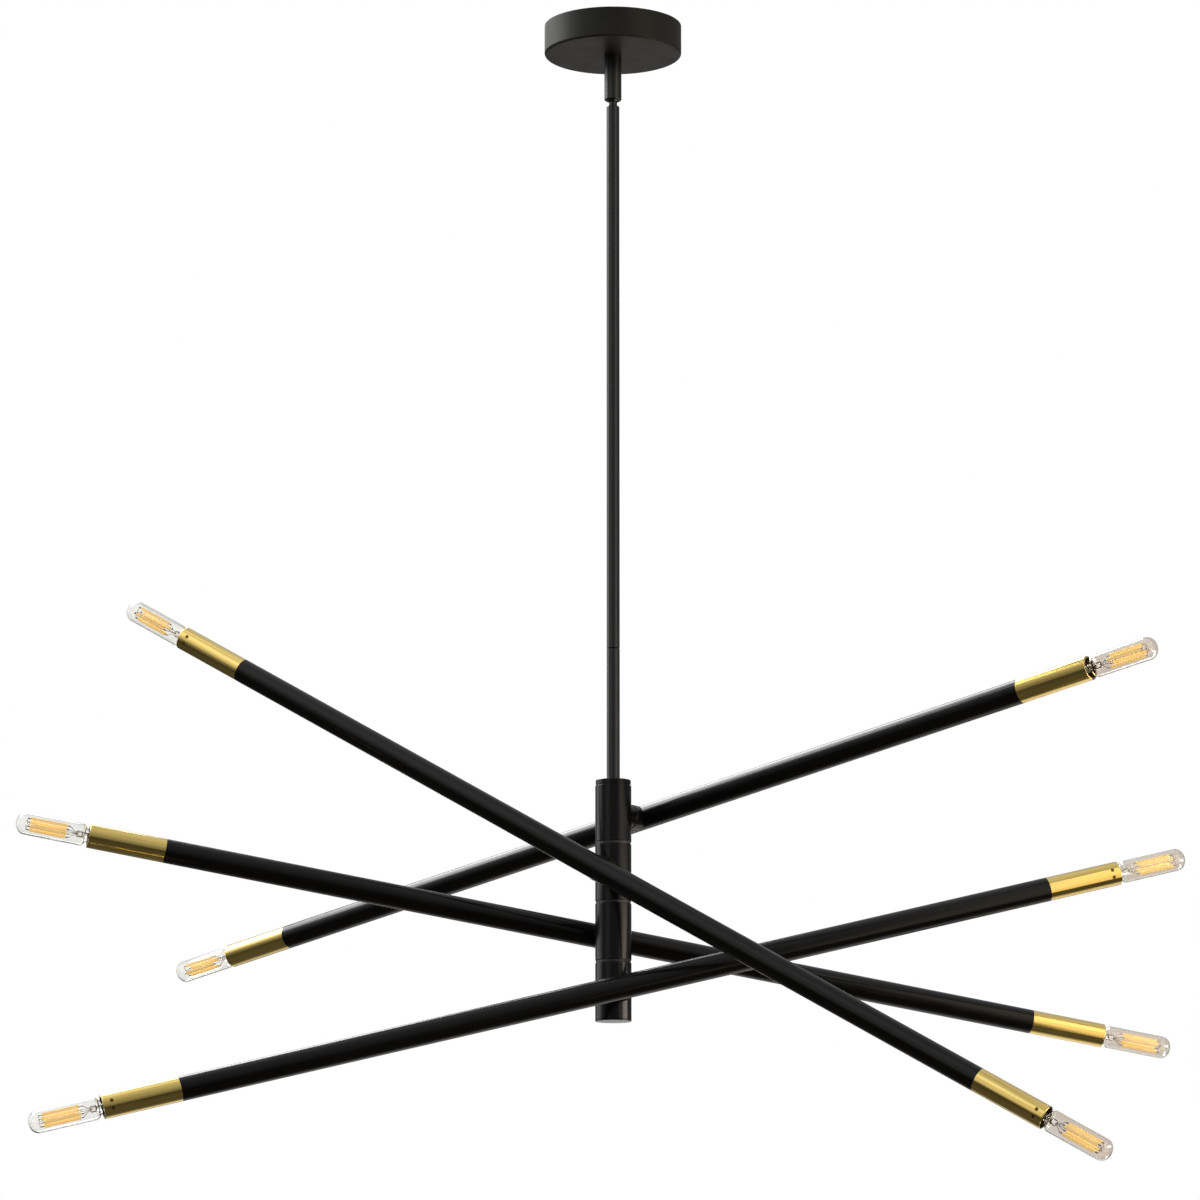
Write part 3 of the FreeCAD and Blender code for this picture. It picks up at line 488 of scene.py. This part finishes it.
def make_contact(name, place, material):
    """Domed centre contact."""
    tip = GLASS_LOW - CAP_LENGTH - INSULATOR_LENGTH
    radius = CONTACT_D / 2
    turns = [math.radians(degrees) for degrees in CONTACT_DOME_DEG]
    outline = [(0.0, tip), (radius - CONTACT_INSET, tip)]
    outline += [(radius * math.cos(turn) - CONTACT_INSET, tip - CONTACT_LENGTH * math.sin(turn))
                for turn in turns]
    outline += [(0.0, tip - CONTACT_LENGTH)]
    built = bmesh.new()
    revolve(built, outline, CONTACT_SIDES)
    finished(name + "_contact", built, place, material, name)


def make_stem_glass(name, place, material):
    """Flared glass tube that is pressed flat round the wires."""
    built = bmesh.new()
    tube = STEM_TUBE_D / 2
    flare = STEM_FLARE_D / 2
    foot = GLASS_LOW + STEM_FOOT
    rim = foot + STEM_RIM
    outline = [(0.0, foot), (flare, foot), (flare, rim)]
    outline += [(flare + (tube - flare) * (1 - (1 - share) ** 2), rim + STEM_FLARE_L * share)
                for share in STEM_FLARE_SHARES]
    outline += [(tube, PINCH_LOW - PINCH_TAPER), (tube, PINCH_LOW), (tube, PINCH_HIGH - PINCH_EDGE),
                (tube * PINCH_EDGE_R, PINCH_HIGH - PINCH_CROWN), (0.0, PINCH_HIGH)]
    revolve(built, outline, STEM_SIDES)
    for vertex in built.verts:
        press = min(max((vertex.co.z - (PINCH_LOW - PINCH_TAPER)) / PINCH_TAPER, 0.0), 1.0)
        vertex.co.x *= 1 + (PINCH_THIN - 1) * press
        vertex.co.y *= 1 + (PINCH_WIDE - 1) * press
    finished(name + "_stem_glass", built, place, material, name)


def filament_spots(turn_deg):
    """Where the four filaments stand: the corners of a square that has turned with its bulb."""
    reach = FILAMENT_SQUARE * math.sqrt(0.5)
    turns = [math.radians(turn_deg + 45 + 90 * i) for i in range(4)]
    return [(reach * math.cos(turn), reach * math.sin(turn)) for turn in turns]


def make_filaments(name, place, material, turn_deg):
    """Four round-ended strips."""
    radius = FILAMENT_D / 2
    low = FILAMENT_FROM + TAB_LENGTH
    high = FILAMENT_FROM + FILAMENT_LENGTH - TAB_LENGTH
    turns = [math.radians(degrees) for degrees in FILAMENT_END_DEG]
    rounded = [(radius * math.sin(turn), FILAMENT_END * radius * (1 - math.cos(turn))) for turn in turns]
    outline = [(0.0, low)]
    outline += [(r, low + rise) for r, rise in rounded]
    outline += [(r, high - rise) for r, rise in reversed(rounded)]
    outline += [(0.0, high)]
    built = bmesh.new()
    for x, y in filament_spots(turn_deg):
        move(revolve(built, outline, FILAMENT_SIDES), Matrix.Translation((x, y, 0)))
    finished(name + "_filaments", built, place, material, name)


def make_supports(name, place, material, turn_deg):
    """Metal tabs at the filaments' ends, and the wires that hold them between the pinch and a top spider."""
    low = FILAMENT_FROM
    high = FILAMENT_FROM + FILAMENT_LENGTH
    built = bmesh.new()
    for x, y in filament_spots(turn_deg):
        wire(built, [(x, y, low - TAB_BEYOND), (x, y, low + TAB_LENGTH + TAB_INSIDE)], TAB_D)
        wire(built, [(x, y, high - TAB_LENGTH - TAB_INSIDE), (x, y, high + TAB_BEYOND)], TAB_D)
        wire(built, [(x * share, y * share, high + rise) for share, rise in TOP_WIRE], WIRE_D)
        foot = [(x * share, y * share, low + rise) for share, rise in FOOT_WIRE]
        foot += [(x * share, y * share, PINCH_HIGH + rise) for share, rise in PINCH_WIRE]
        wire(built, foot, WIRE_D)
    wire(built, [(0, 0, PINCH_HIGH - CENTRE_WIRE_SINK), (0, 0, high + CENTRE_WIRE_RISE)], WIRE_D)
    finished(name + "_supports", built, place, material, name)


# ---- Lampholder and sleeve pieces ------------------------------------------------------------
def make_holder_shell(number, side, place, material):
    """Thin metal shell that lines the lampholder."""
    top = -HOLDER_SINK - SHELL_SINK
    low = top - SHELL_DEPTH
    bore = SHELL_D / 2 - SHELL_WALL
    outer = SHELL_D / 2 - SHELL_GAP
    built = bmesh.new()
    rings = revolve(built, [(bore, top), (bore, low), (outer, low), (outer, top)], SHELL_SIDES)
    skin(built, (rings[-1], rings[0]))
    finished("arm_" + number + "_" + side + "_holder_shell", built, place, material, "arm_" + number)


def make_grub_screws(number, side, place, material):
    """Two small socket screws that hold the lampholder, in the sleeve's outer face."""
    radius = GRUB_D / 2
    top = GRUB_PROUD
    socket = top - GRUB_SOCKET_DEPTH
    outline = [(0.0, -GRUB_SUNK), (radius, -GRUB_SUNK), (radius, top - GRUB_EDGE), (radius - GRUB_EDGE, top),
               (GRUB_SOCKET_R, top), (GRUB_SOCKET_FLOOR_R, socket), (0.0, socket)]
    outwards = Matrix.Rotation(math.radians(90), 4, "Y")
    face = Matrix.Translation((SLEEVE_D / 2, 0, -GRUB_FROM_MOUTH))
    built = bmesh.new()
    for spread_deg in (-GRUB_SPREAD_DEG, GRUB_SPREAD_DEG):
        spread = Matrix.Rotation(math.radians(spread_deg), 4, "Z")
        move(revolve(built, outline, GRUB_SIDES), spread @ face @ outwards)
    finished("arm_" + number + "_" + side + "_grub_screws", built, place, material, "arm_" + number)


# ---- Dressing --------------------------------------------------------------------------------
def paint(material, nodes):
    """Gives construction parts their finish."""
    for node in nodes:
        for slot in frame["nodes"][node].material_slots:
            slot.material = material


def dress():
    """Gives every construction part its finish, and adds the bulbs and what is in the arms' ends."""
    # Powder coat is matt with a broad sheen, enamel on the tubes is smoother and takes soft lines along
    # them, and lacquer is the deepest black with the sharpest lines.
    coat = black_paint("satin_black_powder_coat_on_steel", ("#1a1a15", "#23231e"), (0.46, 0.54),
                       peel_mm=1.0, peel_depth_mm=0.012, Specular_IOR_Level=0.18)
    enamel = black_paint("satin_black_enamel_on_drawn_tube", ("#0e0d0f", "#131214"), (0.27, 0.33),
                         peel_mm=1.2, peel_depth_mm=0.01, IOR=1.5)
    lacquer = black_paint("semi_gloss_black_lacquer", ("#080707", "#0c0b0b"), (0.2, 0.25),
                          peel_mm=1.4, peel_depth_mm=0.008, Specular_IOR_Level=0.22)
    # Zinc is cool grey with a cloudy spangle, and bronzed screws are dark brown with worn, lighter spots.
    # Nickel wire is bright and a little warm, and a rolled cap shows brass where its nickel is thin.
    zinc = clouded_metal("bright_zinc_plated_steel", 3, 4.0, ("#a9adb0", "#ccd0d2"), (0.28, 0.42))
    bronzed = clouded_metal("bronzed_alloy_steel", 0.8, 2.0, ("#4e3f20", "#75602f"), (0.35, 0.5))
    nickel = clouded_metal("drawn_nickel_wire", 1.0, 2.0, ("#b9b2a6", "#dcd6c8"), (0.25, 0.4))
    cap_metal = clouded_metal("nickel_plated_rolled_brass", 4, 4.0, ("#b89b62", "#d7c49a"), (0.2, 0.4))
    # Nylon and the cable jacket are dull, phenolic is glossier and a little brown, polypropylene looks waxy,
    # and fused glass shines. The green film of the ground screw hides its metal.
    nylon = grained("moulded_black_nylon", ("#17171a", "#202024"), (0.45, 0.6), 1.5)
    phenolic = grained("moulded_black_phenolic", ("#121110", "#1d1b19"), (0.35, 0.5), 2.0, ior=1.55)
    jacket = grained("extruded_black_pvc_cable_jacket", ("#141414", "#1c1c1c"), (0.4, 0.55), 1.2)
    connector = grained("moulded_orange_polypropylene", ("#b0611c", "#c9752a"), (0.4, 0.55), 1.5)
    vitrite = grained("fused_black_glass_insulator", ("#0d0c10", "#17151b"), (0.12, 0.2), 2.0, ior=1.6)
    green = grained("green_passivated_steel", ("#1c6b34", "#2a8044"), (0.3, 0.45), 1.0)
    glass = clear_glass()
    # The phosphor's glow is painted light.
    phosphor = filament_phosphor_painted_glow()

    paint(coat, ("canopy",))
    paint(enamel, ("swivel_barrel", "swivel_ball", "stem_upper", "stem_lower"))
    paint(lacquer, ("column_cap", "base_plate"))
    paint(zinc, ("mounting_strap", "nipple_nuts", "canopy_nipple", "swivel_plug", "stem_coupler", "core_tube",
                 "column_spring"))
    paint(nylon, ("swivel_liner", "spacer_rings"))
    paint(jacket, ("supply_leads", "stem_leads"))
    paint(connector, ("wire_connectors",))
    paint(green, ("ground_screw",))

    for number in ARMS:
        arm = "arm_" + number
        paint(lacquer, ("hub_" + number, arm + "_knuckle", arm + "_tube"))
        paint(zinc, (arm + "_pivot_hardware",))
        paint(phenolic, (arm + "_lampholders",))
        paint(polished_brass(number, place_of(number, "right")), (arm + "_sleeves",))
        for side in SIDES:
            place = place_of(number, side)
            bulb = "bulb_" + number + "_" + side
            turn_deg = FILAMENT_TURN[number + "_" + side]
            make_envelope(bulb, place, glass)
            make_screw_cap(bulb, place, cap_metal)
            make_insulator(bulb, place, vitrite)
            make_contact(bulb, place, zinc)
            make_stem_glass(bulb, place, glass)
            make_filaments(bulb, place, phosphor, turn_deg)
            make_supports(bulb, place, nickel, turn_deg)
            make_holder_shell(number, side, place, cap_metal)
            make_grub_screws(number, side, place, bronzed)


# ---- Studio ----------------------------------------------------------------------------------
def aim(lamp, place, target, up):
    """Turns a lamp at place so that its -Z looks at target and its Y leans towards up."""
    back = (Vector(place) - Vector(target)).normalized()
    right = Vector(up).cross(back).normalized()
    turn = Matrix((right, back.cross(right), back)).transposed().to_4x4()
    lamp.matrix_world = Matrix.Translation(place) @ turn


def softbox(name, place, target, up, width, height, radiance, colour):
    """Area lamp whose surface has this radiance, where 1 is white."""
    data = bpy.data.lights.new(name, "AREA")
    data.shape = "RECTANGLE"
    data.size = width
    data.size_y = height
    data.energy = radiance * math.pi * width * height
    data.color = linear(colour)[:3]
    lamp = bpy.data.objects.new(name, data)
    bpy.context.scene.collection.objects.link(lamp)
    aim(lamp, place, target, up)


def room_light(tree, heading):
    """Dim room that grows brighter upwards, with reflectors that show in metal and gloss paint."""
    split = add(tree, "SeparateXYZ", {"Vector": heading})
    level = add(tree, "MapRange", {"Value": split.outputs["Z"], "From Min": -1.0, "From Max": 1.0})
    (front_y, front_share), (back_y, back_share) = ROOM_BEHIND
    behind = add(tree, "MapRange", {"Value": split.outputs["Y"], "From Min": front_y, "From Max": back_y,
                                    "To Min": front_share, "To Max": back_share})
    room = add(tree, "ValToRGB", {"Fac": level.outputs["Result"]})
    for position, value in ROOM_LEVELS[1:-1]:
        room.color_ramp.elements.new(position)
    for stop, (position, value) in zip(room.color_ramp.elements, ROOM_LEVELS):
        stop.position = position
        stop.color = (value, value, value, 1.0)
    lit = add(tree, "Background", {"Color": room.outputs["Color"],
                                   "Strength": behind.outputs["Result"]}).outputs["Background"]
    for centre, inner_deg, outer_deg, strength, colour in REFLECTORS:
        toward = Vector(centre).normalized()
        facing = add(tree, "VectorMath", {0: heading, 1: toward}, operation="DOT_PRODUCT").outputs["Value"]
        glow = add(tree, "MapRange", {"Value": facing, "From Min": math.cos(math.radians(outer_deg)),
                                      "From Max": math.cos(math.radians(inner_deg)), "To Max": strength},
                   interpolation_type="SMOOTHSTEP")
        panel = add(tree, "Background", {"Color": linear(colour), "Strength": glow.outputs["Result"]})
        lit = add(tree, "AddShader", {0: lit, 1: panel.outputs["Background"]}).outputs["Shader"]
    return lit


def behind_glass(tree, heading):
    """What shows through the bulbs: white on the left, warm grey on the right, and dark except behind."""
    split = add(tree, "SeparateXYZ", {"Vector": heading})
    (left_x, left_colour), (right_x, right_colour) = GLASS_ACROSS
    across = add(tree, "MapRange", {"Value": split.outputs["X"], "From Min": left_x, "From Max": right_x})
    tint = add(tree, "ValToRGB", {"Fac": across.outputs["Result"]})
    tint.color_ramp.elements[0].color = linear(left_colour)
    tint.color_ramp.elements[1].color = linear(right_colour)
    (side_y, side_level), (back_y, back_level) = GLASS_BEHIND
    behind = add(tree, "MapRange", {"Value": split.outputs["Y"], "From Min": side_y, "From Max": back_y,
                                    "To Min": side_level, "To Max": back_level})
    shown = add(tree, "Background", {"Color": tint.outputs["Color"], "Strength": behind.outputs["Result"]})
    return shown.outputs["Background"]


def make_studio():
    """Softboxes and a world that is white to the camera and a studio to everything else."""
    for lamp in LAMPS:
        softbox(*lamp)
    world = bpy.data.worlds.new("studio")
    world.use_nodes = True
    bpy.context.scene.world = world
    tree = world.node_tree
    tree.nodes.clear()
    ray = add(tree, "LightPath").outputs
    heading = add(tree, "TexCoord").outputs["Generated"]
    room = room_light(tree, heading)
    glass = behind_glass(tree, heading)
    white = add(tree, "Background", {"Color": (1, 1, 1, 1), "Strength": 1.0}).outputs["Background"]
    unseen = add(tree, "MixShader", {0: ray["Is Transmission Ray"], 1: room, 2: glass}).outputs["Shader"]
    both = add(tree, "MixShader", {0: ray["Is Camera Ray"], 1: unseen, 2: white}).outputs["Shader"]
    add(tree, "OutputWorld", {"Surface": both})


def make_floor():
    """Pale floor well below the light. Reflections see it in painted shade, dim, apart from a painted pool of
    light behind on the right.
    """
    built = bmesh.new()
    bmesh.ops.create_circle(built, cap_ends=True, segments=FLOOR_SIDES, radius=FLOOR_R)
    mesh = bpy.data.meshes.new("floor")
    built.to_mesh(mesh)
    built.free()
    floor = bpy.data.objects.new("floor", mesh)
    floor.location = (0, 0, FLOOR_Z)
    bpy.context.scene.collection.objects.link(floor)
    made, tree, shader, place = new_material("painted_studio_floor")
    scuff = add(tree, "TexNoise", {"Vector": place, "Scale": per_mm(FLOOR_SCUFF_MM), "Detail": 3.0})
    vary(tree, shader, scuff.outputs["Fac"], ("#f3f2ef", "#f6f5f3"), (0.85, 0.95))
    # Painted light and shade, seen only in reflections: a pool of light that fades to dim grey.
    (near, lit_colour), (far, dim_colour) = POOL_FADE
    off = add(tree, "VectorMath", {0: place, 1: POOL_PLACE}, operation="DISTANCE").outputs["Value"]
    fade = add(tree, "MapRange", {"Value": off, "From Min": near, "From Max": far}).outputs["Result"]
    pool = add(tree, "ValToRGB", {"Fac": fade})
    pool.color_ramp.elements[0].color = linear(lit_colour)
    pool.color_ramp.elements[1].color = linear(dim_colour)
    dim = add(tree, "BsdfDiffuse", {"Color": pool.outputs["Color"]})
    ray = add(tree, "LightPath")
    both = add(tree, "MixShader", {0: ray.outputs["Is Camera Ray"], 1: dim.outputs["BSDF"],
                                   2: shader.outputs["BSDF"]})
    tree.links.new(both.outputs["Shader"], tree.nodes["Material Output"].inputs["Surface"])
    mesh.materials.append(made)


def make_camera():
    """Camera where the photograph was taken from, looking a little up."""
    data = bpy.data.cameras.new("camera")
    data.lens = CAMERA_LENS
    data.sensor_width = CAMERA_SENSOR
    data.clip_end = CAMERA_REACH
    camera = bpy.data.objects.new("camera", data)
    camera.location = CAMERA_PLACE
    camera.rotation_euler = (math.radians(90 + CAMERA_PITCH_DEG), 0, 0)
    bpy.context.scene.collection.objects.link(camera)
    bpy.context.scene.camera = camera


make_camera()
make_studio()
make_floor()
dress()
bpy.context.scene.view_settings.view_transform = "Standard"

bpy.context.view_layer.update()
